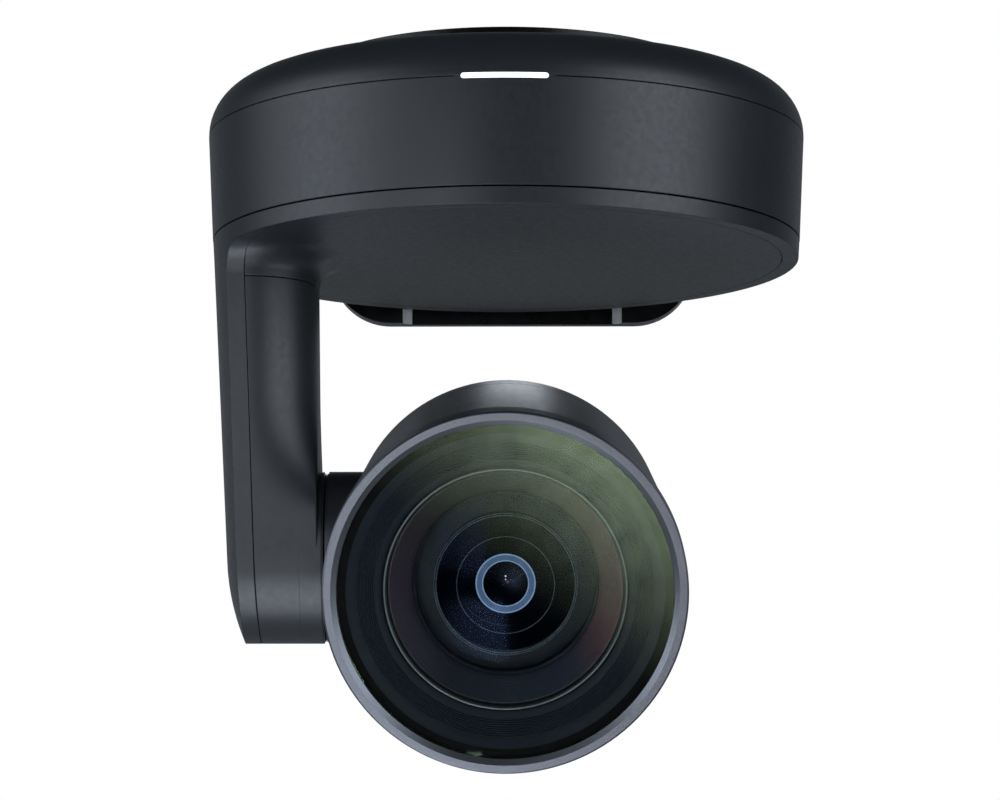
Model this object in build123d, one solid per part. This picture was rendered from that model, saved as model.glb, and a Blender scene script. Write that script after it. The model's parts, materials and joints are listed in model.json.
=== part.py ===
from build123d import *
import os
from math import acos, cos, pi, radians, sin, sqrt, tan

# Ceiling-hung pan-tilt-zoom camera on an L-shaped wall bracket.
# Millimetres. +Z is up as hung, the lens looks towards -Y, the arm is on the -X side.
# Everything is drawn about the pan axis, with z = 0 at the seam that holds the light bar.
# save() then moves each part into the part's own frame, whose origin is the centre of the
# bracket's bolt pattern on its wall face.

# ---- driving dimensions ----
# bracket
WALL_Y = 84.0            # wall face, behind the pan axis
WALL_Z = -6.0            # height of the bolt pattern's centre
UPRIGHT_WIDTH = 99.8
UPRIGHT_OFFSET = 1.2     # the upright's middle stands this far off the pan axis
UPRIGHT_THICK = 6.0
UPRIGHT_BOTTOM = -34.1
UPRIGHT_CORNER = 16.5
UPRIGHT_MIDDLE_THICK = 3.0
MIDDLE_HALF_WIDTH = 30.1
MIDDLE_HEIGHT = 45.0
SHELF_TOP = 18.6
SHELF_THICK = 1.8
SHELF_RADIUS = 49.5
BOLT_X, BOLT_Z = 70.0, 28.0
BOLT_HOLE = 2.25
WINDOW = (46.0, 24.0)    # cable window in the upright, width and height
WINDOW_Z = -8.0
# base drum
BASE_FLAT = 16.7         # height of the face that sits on the shelf
BASE_RADIUS = 77.0       # at the light-bar seam
BASE_FLAT_RADIUS = 50.0
BASE_SHOULDER = 11.0     # height where the sloping top would meet the side
BASE_CORNER = 13.0
BAND_BOTTOM = -27.0
BAND_BOTTOM_RADIUS = 75.75
WALL = 2.2
SEAM = 0.24
# platform that turns under the base, and its arm
PLAT_TOP = -27.4
PLAT_TOP_RADIUS = 75.65
PLAT_BOTTOM = -31.6
PLAT_RADIUS = 75.4
BAND_WIDTH = 4.15        # width of the outer cover's visible edge band
COVER_GAP = 0.2
COVER_WALL = 2.0
ARM_KNEE = (70.8, -120.8)   # radius and height where the skin turns inwards
ARM_KNEE_RADIUS = 58.8
ARM_FOOT = (62.8, -140.0)
ARM_TOP_HALF = 25.4
ARM_ROOT_FILLET = 8.0    # where the edge band turns down the arm
STUB_FILLET = 6.4        # where the arm's root meets the underside
ARM_CORNER = 18.0
ARM_SPLIT = -40.0        # seam between the root and the inner cover
ARM_FACE_TOP = -48.7     # x of the arm's inner face under the platform
ARM_FACE_END = -47.4     # and at the tilt axis
# tilt axis and head
TILT_Z = -108.9
REST_TILT = 16.4         # the head is stored looking this far down
HUB_RADIUS = 21.95
HUB_FACE = -46.1
NECK_FACE = -45.7
NECK_RADIUS = 22.05
COLLAR_STEP = 0.5        # small step round the facing ends of hub and neck
HEAD_FRONT = 55.0        # front of the ring, ahead of the tilt axis
HEAD_REAR = -39.5
RING_RADIUS = 45.0
RING_REAR = 46.2
HEAD_FRONT_RADIUS = 44.5
HEAD_REAR_RADIUS = 41.2
CAP_JOINT = -26.0
CAP_CORNER = 3.0
# gears: module, teeth
PAN_MODULE, PAN_TEETH, PAN_PINION_TEETH = 0.6, 100, 20
TILT_MODULE, TILT_TEETH, TILT_PINION_TEETH = 0.5, 60, 24
PAN_MOTOR_ANGLE = -45.0
BACKLASH = 0.07
# bearing under the base
BALL = 1.5
BALL_COUNT = 20
BALL_PITCH_RADIUS = 25.25
GROOVE = 1.56
BEARING = (-24.0, -18.0)
RACE_OUTER, HOUSING_RADIUS = 29.0, 32.0
# fixings
SCREW_RADIUS, SCREW_HOLE, SCREW_HEAD = 3.17, 3.4, 8.0     # 1/4 inch thread
INSERT_RADIUS = 7.0
FOOT_OUTER, FOOT_INNER, FOOT_DEEP = 47.0, 40.0, 0.7
POST_RADIUS, POST_ANGLE = 43.5, 30.0       # three posts in the base, under the rubber foot
# light bar and sockets
LIGHT_HALF, LIGHT_HIGH = 10.8, 1.45
BAY = (20.5, -15.0, -3.6)          # half width, floor and ceiling of the rear bay
BAY_BACK = 52.0
SOCKETS = [(-12.0, 15.2, 5.8), (0.5, 9.0, 3.3), (12.0, 9.6, 9.8)]    # x, width, height
PORT_BOARD_Z = -13.6
RESET, RESET_RADIUS = (1.0, -7.0), 2.0
LOCK_ANGLE, LOCK_Z = 38.0, -14.0
BOARD_Z, BOARD_RADIUS = 6.0, 64.0
# drive heights and radii
GEAR_CENTRES = PAN_MODULE * (PAN_TEETH + PAN_PINION_TEETH) / 2 + 0.03
TILT_CENTRES = TILT_MODULE * (TILT_TEETH + TILT_PINION_TEETH) / 2 + 0.03
HUB_TUBE, HUB_BORE = 21.5, 16.0
PAN_GEAR_Z, TABLE_Z = -15.6, -9.6
EAR_SPREAD = 14.7
PINION_BORE = 1.5
TURNTABLE = (-29.6, -28.0)
FRAME_X = -61.2          # outer face of the arm frame's plate
FRAME_THICK = 2.0
BUSH_OUTER, SHAFT_RADIUS, SHAFT_BORE = 7.0, 5.0, 3.2
TILT_GEAR_X = -65.2
FOOT_SCREW = (-41.5, 9.0)    # x and half spacing in y
CHEEK = 13.0             # half width of the arm frame
RING_BORE = 41.5
# lens, measured along the lens axis ahead of the tilt axis
GLASS = (52.5, 53.7)
BAFFLE_OUTER, BAFFLE_INNER = 39.7, 30.3
BAFFLE_FRONT, BAFFLE_BACK = 52.0, 48.6
RIBS = 8
BEZEL_OUTER, BEZEL_INNER = 28.6, 23.2
BEZEL_FRONT, BEZEL_BACK = 46.8, 39.0
BARREL_BORE = 20.0
PLATE_RADIUS = 22.4
ROD_RADIUS, ROD_SPREAD = 1.0, 17.2
NECK_WALL = 2.4
FLANGE_SCREW = 10.0
ZOOM_ANGLE, FOCUS_ANGLE = 60.0, -60.0      # where the lead screws stand round the lens axis
SCREW_ORBIT = 16.6       # the lead screws' distance from the lens axis
SCREW_LEAD_RADIUS = 1.1

os.makedirs("parts", exist_ok=True)
TO_WALL_FRAME = Pos(0, -WALL_Y, -WALL_Z)
HEAD = Plane(
    origin=(0, 0, TILT_Z), x_dir=(1, 0, 0),
    z_dir=(0, -cos(radians(REST_TILT)), -sin(radians(REST_TILT))),
).location
TILT_AXLE = Plane(origin=(0, 0, TILT_Z), x_dir=(0, 0, 1), z_dir=(1, 0, 0)).location


# ---- helpers ----
def save(name, *shapes):
    """Write one sub-part, moved into the wall-face frame."""
    solids = [TO_WALL_FRAME * solid for shape in shapes for solid in shape.solids()]
    part = solids[0] if len(solids) == 1 else Compound(solids)
    part.label = name
    export_step(part, f"parts/{name}.step")


def face_of(corners):
    """Flat closed face through corners (x, y) or (x, y, corner radius)."""
    points = [Vector(*corner[:2]) for corner in corners]
    starts, ends, middles = [], [], []
    for i, corner in enumerate(corners):
        point = points[i]
        to_last = (points[i - 1] - point).normalized()
        to_next = (points[(i + 1) % len(points)] - point).normalized()
        radius = corner[2] if len(corner) > 2 else 0
        half = acos(max(-1, min(1, to_last.dot(to_next)))) / 2
        reach = radius / tan(half)
        starts.append(point + to_last * reach)
        ends.append(point + to_next * reach)
        centre = point + (to_last + to_next).normalized() * (radius / sin(half))
        middles.append(centre + (point - centre).normalized() * radius if radius else None)
    edges = []
    for i, middle in enumerate(middles):
        if middle is not None:
            edges.append(Edge.make_three_point_arc(starts[i], middle, ends[i]))
        following = starts[(i + 1) % len(points)]
        if (following - ends[i]).length > 1e-6:
            edges.append(Edge.make_line(ends[i], following))
    face = Face(Wire(edges))
    return face if face.normal_at().Z > 0 else -face


def turned(corners):
    """Solid of revolution about Z from (radius, height) corners."""
    return revolve(Plane.XZ * face_of(corners), Axis.Z)


def drum(radius, low, high):
    return Pos(0, 0, low) * Cylinder(radius, high - low, align=(Align.CENTER, Align.CENTER, Align.MIN))


def tube(outer, inner, low, high):
    return drum(outer, low, high) - drum(inner, low - 1, high + 1)


def block(x, y, z):
    """Box between the given x, y and z limits."""
    size = [limits[1] - limits[0] for limits in (x, y, z)]
    return Pos(x[0], y[0], z[0]) * Box(*size, align=(Align.MIN, Align.MIN, Align.MIN))


def along_x(radius, low, high, y=0.0, z=TILT_Z):
    """Cylinder along X between two x values."""
    return Pos(low, y, z) * Rot(0, 90, 0) * drum(radius, 0, high - low)


def ring_of(shape, radius, count, first=0.0):
    """Copies of a shape spaced round the Z axis."""
    return [Rot(0, 0, first + 360 * i / count) * Pos(radius, 0, 0) * shape for i in range(count)]


def screw(length, thread=1.25, head=2.3, head_high=1.6, drive=1.2):
    """Cap screw along -Z, its head standing on z = 0, with a hexagonal socket."""
    socket = extrude(RegularPolygon(drive, 6), head_high)
    return drum(head, 0, head_high) + drum(thread, -length, 0) - Pos(0, 0, head_high / 2) * socket


def gear(teeth, module, thick, bore, addendum=0.85):
    """Involute spur gear about Z, standing on z = 0, with a tooth centred on +X."""
    pressure = radians(20)
    pitch = module * teeth / 2
    base = pitch * cos(pressure)
    tip, root = pitch + addendum * module, pitch - 1.15 * module
    half_at_pitch = (pi * module / 2 - BACKLASH) / 2 / pitch

    def involute_at(r):
        return sqrt((r / base) ** 2 - 1) - acos(base / r) if r > base else 0

    points = []
    for i in range(teeth):
        centre = 2 * pi * i / teeth
        for side in (-1, 1):
            radii = [root, max(base, root), pitch, tip]
            for r in radii if side < 0 else reversed(radii):
                half = half_at_pitch + involute_at(pitch) - involute_at(r)
                angle = centre + side * half
                points.append((r * cos(angle), r * sin(angle)))
    outline = [p for i, p in enumerate(points) if (Vector(*p) - Vector(*points[i - 1])).length > 1e-4]
    return extrude(face_of(outline), thick) - drum(bore, -1, thick + 1)


# ---- wall bracket and its fixings ----
def wall_bracket():
    left, right = UPRIGHT_OFFSET - UPRIGHT_WIDTH / 2, UPRIGHT_OFFSET + UPRIGHT_WIDTH / 2
    front, under = WALL_Y - UPRIGHT_THICK, SHELF_TOP - SHELF_THICK
    side = face_of([
        (0, under), (front, under, 4), (front, UPRIGHT_BOTTOM), (WALL_Y, UPRIGHT_BOTTOM),
        (WALL_Y, SHELF_TOP, 5), (0, SHELF_TOP),
    ])
    front_view = face_of([
        (left, SHELF_TOP + 1), (right, SHELF_TOP + 1),
        (right, UPRIGHT_BOTTOM, UPRIGHT_CORNER), (left, UPRIGHT_BOTTOM, UPRIGHT_CORNER),
    ])
    body = extrude(Plane.YZ * side, UPRIGHT_WIDTH, both=True)
    body &= Pos(0, WALL_Y + 1, 0) * extrude(Plane.XZ * front_view, WALL_Y + 2)
    body += drum(SHELF_RADIUS, under, SHELF_TOP)
    set_back = WALL_Y - UPRIGHT_MIDDLE_THICK
    recess = face_of([
        (-MIDDLE_HALF_WIDTH, front - 8), (-MIDDLE_HALF_WIDTH, set_back, 2.6),
        (MIDDLE_HALF_WIDTH, set_back, 2.6), (MIDDLE_HALF_WIDTH, front - 8),
    ])
    body -= Pos(UPRIGHT_OFFSET, 0, UPRIGHT_BOTTOM - 1) * extrude(recess, MIDDLE_HEIGHT)
    window = RectangleRounded(*WINDOW, 5)
    body -= Pos(0, WALL_Y + 1, WINDOW_Z) * extrude(Plane.XZ * window, 12)
    for x in (-BOLT_X / 2, BOLT_X / 2):
        for z in (-BOLT_Z / 2, BOLT_Z / 2):
            body -= Pos(x, front - 1, WALL_Z + z) * Rot(-90, 0, 0) * drum(BOLT_HOLE, 0, 8)
    return body - drum(SCREW_HOLE, under - 1, SHELF_TOP + 1)


def bracket_screw():
    """Low knurled 1/4 inch thumb screw with a coin slot; it clamps the base to the shelf."""
    head = drum(SCREW_HEAD, SHELF_TOP, SHELF_TOP + 4)
    for notch in ring_of(drum(0.6, SHELF_TOP - 1, SHELF_TOP + 5), SCREW_HEAD + 0.2, 30):
        head -= notch
    head -= block((-SCREW_HEAD, SCREW_HEAD), (-0.8, 0.8), (SHELF_TOP + 2.4, SHELF_TOP + 5))
    return head + drum(SCREW_RADIUS, 8.0, SHELF_TOP)


# ---- base drum: covers ----
def base_cover():
    """Dish-shaped cover that meets the shelf; its lip sits inside the side band."""
    edge, inner_flat = BASE_RADIUS - 0.4, BASE_FLAT - WALL
    lip = BASE_RADIUS - WALL - 0.3
    body = turned([
        (0, BASE_FLAT), (BASE_FLAT_RADIUS, BASE_FLAT), (edge, BASE_SHOULDER, BASE_CORNER),
        (BASE_RADIUS, SEAM / 2), (lip, SEAM / 2), (lip, -2.0), (lip - 1.2, -2.0), (lip - 1.2, 1.0),
        (edge - WALL, BASE_SHOULDER - WALL, 6), (BASE_FLAT_RADIUS, inner_flat), (0, inner_flat),
    ])
    body += tube(INSERT_RADIUS + 4, INSERT_RADIUS, 5.0, BASE_FLAT - 1)
    for post in ring_of(drum(3.6, BOARD_Z + 1.6, BASE_FLAT - 1), POST_RADIUS, 3, POST_ANGLE):
        body += post
    body -= drum(INSERT_RADIUS, 4, BASE_FLAT + 1)
    body -= tube(FOOT_OUTER, FOOT_INNER, BASE_FLAT - FOOT_DEEP, BASE_FLAT + 1)
    sunk = drum(1.5, 0, BASE_FLAT + 1) + drum(2.6, BASE_FLAT - FOOT_DEEP - 1.6, BASE_FLAT + 1)
    for hole in ring_of(sunk, POST_RADIUS, 3, POST_ANGLE):
        body -= hole
    front = -BASE_RADIUS + 2.4
    body -= block((-LIGHT_HALF - 2, LIGHT_HALF + 2), (front, front + 8), (-2.5, 2.2))
    return body - light_slot(0)


def light_slot(gap):
    """The pill-shaped light bar's space, straddling the seam at the front."""
    pill = SlotOverall(2 * LIGHT_HALF + 2 * gap, LIGHT_HIGH + 2 * gap)
    return Pos(0, -BASE_RADIUS + 6, 0) * extrude(Plane.XZ * pill, 12)


def side_band():
    body = turned([
        (BASE_RADIUS, -SEAM / 2), (BAND_BOTTOM_RADIUS, BAND_BOTTOM),
        (BAND_BOTTOM_RADIUS - WALL, BAND_BOTTOM), (BASE_RADIUS - WALL, -SEAM / 2),
    ])
    width, low, high = BAY
    body -= block((-width, width), (60, 80), (low, high))
    body -= light_slot(0)
    return body - Rot(0, 0, LOCK_ANGLE) * block((60, 80), (-3.6, 3.6), (LOCK_Z - 1.6, LOCK_Z + 1.6))


def light_bar():
    shell = tube(BASE_RADIUS - 0.05, BASE_RADIUS - 4.0, -3, 3)
    front = -BASE_RADIUS + 3.6
    back = block((-LIGHT_HALF - 1.5, LIGHT_HALF + 1.5), (front, front + 1.0), (-1.9, 1.9))
    return (shell & light_slot(-0.05)) + back


def light_board():
    front = -BASE_RADIUS + 6.2
    return block((-13, 13), (front, front + 1.0), (-3, 3))


def light_chips():
    front = -BASE_RADIUS + 6.2
    return [block((x - 1, x + 1), (front - 0.8, front), (-0.8, 0.8)) for x in (-9, -3, 3, 9)]


# ---- base drum: frame, bearing and drive ----
def chassis():
    """Cast floor of the base, with the bearing housing and the raised motor table."""
    low, floor = BAND_BOTTOM + 0.4, BAND_BOTTOM + 2.4
    body = drum(BAND_BOTTOM_RADIUS - WALL - 0.1, low, floor)
    body += drum(HOUSING_RADIUS, low, BEARING[1] + 0.5)
    body -= drum(RACE_OUTER, BEARING[0], 0) + drum(RACE_OUTER - 1.5, -40, 0)
    for post in ring_of(tube(3.6, 1.3, floor - 0.5, BOARD_Z), POST_RADIUS, 3, POST_ANGLE):
        body += post
    table = block((GEAR_CENTRES - 13, GEAR_CENTRES + 13), (-18, 18), (TABLE_Z, TABLE_Z + 1.6))
    table -= block((0, GEAR_CENTRES - 9), (-11, 11), (-40, 10))
    table -= Pos(GEAR_CENTRES, 0, 0) * drum(4.2, -40, 10)
    for side in (-1, 1):
        table += Pos(GEAR_CENTRES + 7, side * 15, 0) * drum(2.8, floor, TABLE_Z)
        table -= Pos(GEAR_CENTRES, side * EAR_SPREAD, 0) * drum(1.05, TABLE_Z - 3, TABLE_Z + 3)
    return body + Rot(0, 0, PAN_MOTOR_ANGLE) * table


def race(outer, inner):
    body = tube(outer, inner, *BEARING)
    return body - Pos(0, 0, sum(BEARING) / 2) * Torus(BALL_PITCH_RADIUS, GROOVE)


def bearing_balls():
    return ring_of(Pos(0, 0, sum(BEARING) / 2) * Sphere(BALL), BALL_PITCH_RADIUS, BALL_COUNT)


def ball_cage():
    middle = sum(BEARING) / 2
    cage = tube(BALL_PITCH_RADIUS + 0.3, BALL_PITCH_RADIUS - 0.3, middle - 2, middle + 2)
    pocket = Pos(0, 0, middle) * Rot(0, 90, 0) * Cylinder(BALL + 0.04, 4)
    for hole in ring_of(pocket, BALL_PITCH_RADIUS, BALL_COUNT):
        cage -= hole
    return cage


def on_pan_motor(shape):
    return Rot(0, 0, PAN_MOTOR_ANGLE) * Pos(GEAR_CENTRES, 0, 0) * shape


def pan_motor():
    top = TABLE_Z + 1.6
    ears = extrude(SlotCenterToCenter(2 * EAR_SPREAD, 6.4), 1.0)
    body = drum(12, top, top + 11) + drum(4.0, top - 1.4, top)
    body += Pos(0, 0, top) * Rot(0, 0, 90) * ears
    for side in (-1, 1):
        body -= Pos(0, side * EAR_SPREAD, 0) * drum(1.2, top - 1, top + 2)
    return on_pan_motor(body)


def pan_pinion():
    """Pinion with its motor shaft, in mesh with the pan gear."""
    turn = Rot(0, 0, 180 + 180 / PAN_PINION_TEETH)
    wheel = turn * gear(PAN_PINION_TEETH, PAN_MODULE, 4.4, PINION_BORE)
    wheel += tube(3.4, PINION_BORE, 4.4, 5.4) + drum(PINION_BORE, -1, 5.4)
    return on_pan_motor(Pos(0, 0, PAN_GEAR_Z) * wheel)


def pan_gear():
    wheel = gear(PAN_TEETH, PAN_MODULE, 4, HUB_TUBE)
    for hole in ring_of(drum(1.6, -1, 5), 25.6, 12):
        wheel -= hole
    return Pos(0, 0, PAN_GEAR_Z) * Rot(0, 0, PAN_MOTOR_ANGLE) * wheel


def gear_clip():
    """Split ring that keeps the pan gear on the hub."""
    ring = tube(HUB_TUBE + 2.4, HUB_TUBE - 0.8, PAN_GEAR_Z + 4, PAN_GEAR_Z + 5)
    return ring - block((0, 40), (-2.5, 2.5), (-40, 10))


# ---- base drum: electronics and rear bay ----
def main_board():
    board = drum(BOARD_RADIUS, BOARD_Z, BOARD_Z + 1.6) - drum(INSERT_RADIUS + 5, -40, 40)
    for hole in ring_of(drum(1.5, 0, 20), POST_RADIUS, 3, POST_ANGLE):
        board -= hole
    return board


def board_chips():
    top = BOARD_Z + 1.6
    places = [(-26, -30, 17, 17, 1.6), (10, -36, 12, 12, 1.4), (-40, 4, 10, 14, 1.4),
              (30, 12, 14, 10, 1.6), (-12, 30, 9, 9, 1.2), (38, -12, 7, 9, 1.2)]
    return [
        block((x - w / 2, x + w / 2), (y - d / 2, y + d / 2), (top, top + h)) for x, y, w, d, h in places
    ]


def port_bay():
    """Moulded tray that sets the sockets in from the side band."""
    width, low, high = BAY
    front, t = BAY_BACK, 1.4
    tray = block((-width - t, width + t), (front - t, 72), (low - t, high + t))
    tray -= block((-width, width), (front, 80), (low, high))
    tray &= drum(BAND_BOTTOM_RADIUS - WALL - 0.3, -40, 20)
    for x, wide, tall in SOCKETS:
        tray -= block((x - wide / 2 - 0.15, x + wide / 2 + 0.15), (front - 5, front + 1),
                      (PORT_BOARD_Z, PORT_BOARD_Z + tall + 0.15))
    return tray - Pos(RESET[0], 0, RESET[1]) * Rot(-90, 0, 0) * drum(RESET_RADIUS + 0.3, 40, 60)


def port_board():
    return block((-21, 21), (BAY_BACK - 20, BAY_BACK - 1.6), (PORT_BOARD_Z - 1.4, PORT_BOARD_Z))


def socket(x, wide, tall, deep, inside, tongue):
    """Open metal or moulded shell with a contact tongue, facing the wall."""
    z = PORT_BOARD_Z
    back = BAY_BACK - 0.2
    shell = block((x - wide / 2, x + wide / 2), (back - deep, back), (z, z + tall))
    shell -= block((x - wide / 2 + inside, x + wide / 2 - inside), (back - deep + 1.5, back + 1),
                   (z + inside, z + tall - inside))
    blade = block((x - wide / 2 + tongue, x + wide / 2 - tongue), (back - deep, back - 1.5),
                  (z + tall / 2 - 0.5, z + tall / 2 + 0.5))
    return shell + blade


def power_socket():
    x, wide, tall = SOCKETS[2]
    back, z = BAY_BACK - 0.2, PORT_BOARD_Z
    body = block((x - wide / 2, x + wide / 2), (back - 11, back), (z, z + tall))
    centre = Pos(x, back - 9, z + tall / 2 + 0.3) * Rot(-90, 0, 0)
    return body - centre * drum(2.75, 0, 10) + centre * drum(1.0, -1, 8)


def reset_button():
    place = Pos(RESET[0], BAY_BACK, RESET[1]) * Rot(-90, 0, 0)
    return place * (drum(RESET_RADIUS, -1.6, 1.0) + drum(RESET_RADIUS + 0.9, -2.6, -1.6))


def reset_switch():
    place = Pos(RESET[0], BAY_BACK, RESET[1]) * Rot(-90, 0, 0)
    return place * block((-3, 3), (-3, 3), (-7.2, -3.8))


# ---- platform and arm covers ----
def outer_form(inset):
    """The swept volume inside the outer skin of platform and arm, inset by a distance."""
    top, knee, foot = PLAT_TOP_RADIUS - inset, ARM_KNEE[0] - inset, ARM_FOOT[0] - inset
    return turned([
        (0, PLAT_TOP), (top, PLAT_TOP), (PLAT_RADIUS - inset, PLAT_BOTTOM),
        (knee, ARM_KNEE[1], ARM_KNEE_RADIUS), (foot, ARM_FOOT[1]), (0, ARM_FOOT[1]),
    ])


def arm_outline(inset):
    """Side view of the arm below the platform, with its root fillets and round end."""
    half, end = ARM_TOP_HALF - inset, HUB_RADIUS - inset
    top, low = PLAT_BOTTOM + 0.5, PLAT_BOTTOM
    blade = face_of([
        (-half - 20, top), (-half - 20, low), (-half, low, ARM_ROOT_FILLET), (-end, TILT_Z),
        (end, TILT_Z), (half, low, ARM_ROOT_FILLET), (half + 20, low), (half + 20, top),
    ])
    solid = extrude(Plane.YZ * blade, -90)
    return solid + along_x(end, -90, 0)


def arm_section(z, inset):
    """Plan of the inner cover at one height: flat inner face and large round corners."""
    share = (z - PLAT_BOTTOM) / (TILT_Z - PLAT_BOTTOM)
    half = ARM_TOP_HALF + (HUB_RADIUS - ARM_TOP_HALF) * share - inset
    face_x = ARM_FACE_TOP + (ARM_FACE_END - ARM_FACE_TOP) * share - inset
    corner = ARM_CORNER - inset
    plan = face_of([(-90, -half), (face_x, -half, corner), (face_x, half, corner), (-90, half)])
    return Pos(0, 0, z) * plan


def arm_core(high, low, inset):
    return loft([arm_section(high, inset), arm_section(low, inset)], ruled=True)


def platform_cover():
    """Skirt and rim of the platform, with the arm's outer wall, as one moulding."""
    rim_low = PLAT_BOTTOM + 1.5
    skin, below = outer_form(0), drum(90, -200, PLAT_BOTTOM)
    inside = arm_outline(COVER_WALL) & outer_form(COVER_WALL)
    ring = skin - outer_form(COVER_WALL) - below
    ring += tube(PLAT_RADIUS, PLAT_RADIUS - BAND_WIDTH, PLAT_BOTTOM, rim_low) & skin
    arm = (arm_outline(0) & skin & below) - outer_form(BAND_WIDTH) - inside
    return ring + arm - (inside & block((-90, 0), (-30, 30), (-40, PLAT_BOTTOM + 3)))


def underside_cover():
    """Disc under the platform with the arm's root, blended by a concave fillet."""
    inner = BAND_WIDTH + COVER_GAP
    stub = arm_core(PLAT_BOTTOM + 1.4, ARM_SPLIT + 0.1, 0)
    disc = drum(120, PLAT_BOTTOM, PLAT_BOTTOM + 1.4)
    body = disc + stub
    root = [
        edge for edge in body.edges()
        for box in [edge.bounding_box()]
        if max(abs(box.min.Z - PLAT_BOTTOM), abs(box.max.Z - PLAT_BOTTOM)) < 0.01
        and box.min.Y > -30 and box.max.Y < 30
    ]
    body = fillet(root, STUB_FILLET) & outer_form(inner)
    return body - arm_core(PLAT_BOTTOM + 2, ARM_SPLIT - 1, COVER_WALL)


def arm_inner_cover():
    """Long cover on the arm's inner side, with the round collar that faces the head."""
    inner = BAND_WIDTH + COVER_GAP
    body = arm_core(ARM_SPLIT - 0.1, TILT_Z, 0)
    body += along_x(HUB_RADIUS, -80, HUB_FACE - 0.4)
    body += along_x(HUB_RADIUS - COLLAR_STEP, -80, HUB_FACE)
    body &= outer_form(inner)
    body -= arm_core(ARM_SPLIT + 5, TILT_Z, COVER_WALL)
    body -= along_x(HUB_RADIUS - COVER_WALL, -90, HUB_FACE - COVER_WALL)
    return body - along_x(BUSH_OUTER + 5, -90, 0)


# ---- platform and arm: frame and drive ----
def turntable():
    """Plate and hollow hub that carry the platform under the base."""
    body = drum(70.0, *TURNTABLE) + drum(HUB_TUBE, TURNTABLE[0], PAN_GEAR_Z + 6.5)
    body += drum(HUB_TUBE + 2.2, TURNTABLE[0], BEARING[0] - 0.1)
    body -= drum(HUB_BORE, -40, 0)
    body -= tube(HUB_TUBE + 5, HUB_TUBE - 0.8, PAN_GEAR_Z + 4, PAN_GEAR_Z + 5)
    body -= block((-80, -45), (-17, 17), (-40, -26))
    for hole in at_foot_screws(drum(1.1, -40, -20)):
        body -= hole
    return body


def at_foot_screws(shape):
    x, half = FOOT_SCREW
    return [Pos(x, y, 0) * shape for y in (-half, half)]


def inner_race():
    return race(BALL_PITCH_RADIUS - 0.55, HUB_TUBE)


def arm_frame():
    """Cast frame inside the arm: foot, plate, motor seat and bush housing."""
    low, high = TURNTABLE
    plate_x, inside = (FRAME_X, FRAME_X + FRAME_THICK), CHEEK - FRAME_THICK
    body = block((-68, -45.3), (-16, 16), (low, high))
    body += block((-50, -37), (-CHEEK, CHEEK), (high, high + 0.7))
    body += block(plate_x, (-CHEEK, CHEEK), (TILT_Z + 8, low + 0.5))
    for cheek in ((-CHEEK, -inside), (inside, CHEEK)):
        body += block((FRAME_X, -52), cheek, (-60, low + 0.5))
    body += along_x(CHEEK, *plate_x) + along_x(BUSH_OUTER + 3, FRAME_X, HUB_FACE - 2.2)
    body -= along_x(BUSH_OUTER, -80, 0)
    body -= along_x(3.6, -80, 0, z=TILT_Z + TILT_CENTRES)
    for y in (-8, 8):
        body -= along_x(1.0, -80, -56, y=y, z=TILT_Z + TILT_CENTRES + 12.5)
    for hole in at_foot_screws(drum(1.3, -40, -20)):
        body -= hole
    return body - block((-80, 0), (-7, 7), (-52, -36))


def tilt_motor():
    z = TILT_Z + TILT_CENTRES
    inner = FRAME_X + FRAME_THICK
    body = along_x(10, inner, inner + 8, z=z) + along_x(3.5, FRAME_X, inner, z=z)
    body += block((inner, inner + 1), (-11, 11), (z + 4, z + 15))
    return body - block((inner - 1, inner + 2), (-4, 4), (z + 11, z + 16))


def tilt_pinion():
    z = TILT_Z + TILT_CENTRES
    place = Plane(origin=(TILT_GEAR_X, 0, z), x_dir=(0, 0, 1), z_dir=(1, 0, 0)).location
    turn = Rot(0, 0, 180 + 180 / TILT_PINION_TEETH)
    wheel = turn * gear(TILT_PINION_TEETH, TILT_MODULE, 3.2, PINION_BORE)
    wheel += tube(3.0, PINION_BORE, 3.2, FRAME_X - TILT_GEAR_X - 0.2)
    return place * (wheel + drum(PINION_BORE, 0, FRAME_X - TILT_GEAR_X - 0.1))


def tilt_bush():
    flange = along_x(BUSH_OUTER + 1.6, FRAME_X - 0.8, FRAME_X)
    body = along_x(BUSH_OUTER, FRAME_X, HUB_FACE - 2.2) + flange
    return body - along_x(SHAFT_RADIUS + 0.04, -80, 0)


def tilt_gear():
    place = Pos(TILT_GEAR_X, 0, 0) * TILT_AXLE
    wheel = gear(TILT_TEETH, TILT_MODULE, 3.0, SHAFT_RADIUS)
    for hole in ring_of(drum(2.4, -1, 5), 11.5, 6, 30):
        wheel -= hole
    return place * wheel


def arm_ribbon():
    """Flat flexible cable lying against the arm frame's plate."""
    x = FRAME_X + FRAME_THICK
    return block((x, x + 0.4), (-6, 6), (-70, -30))


# ---- head: casing ----
def head_radius(ahead):
    """Radius of the tapered head at a distance ahead of the tilt axis."""
    share = (ahead - HEAD_REAR) / (RING_REAR - HEAD_REAR)
    return HEAD_REAR_RADIUS + (HEAD_FRONT_RADIUS - HEAD_REAR_RADIUS) * share


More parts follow.
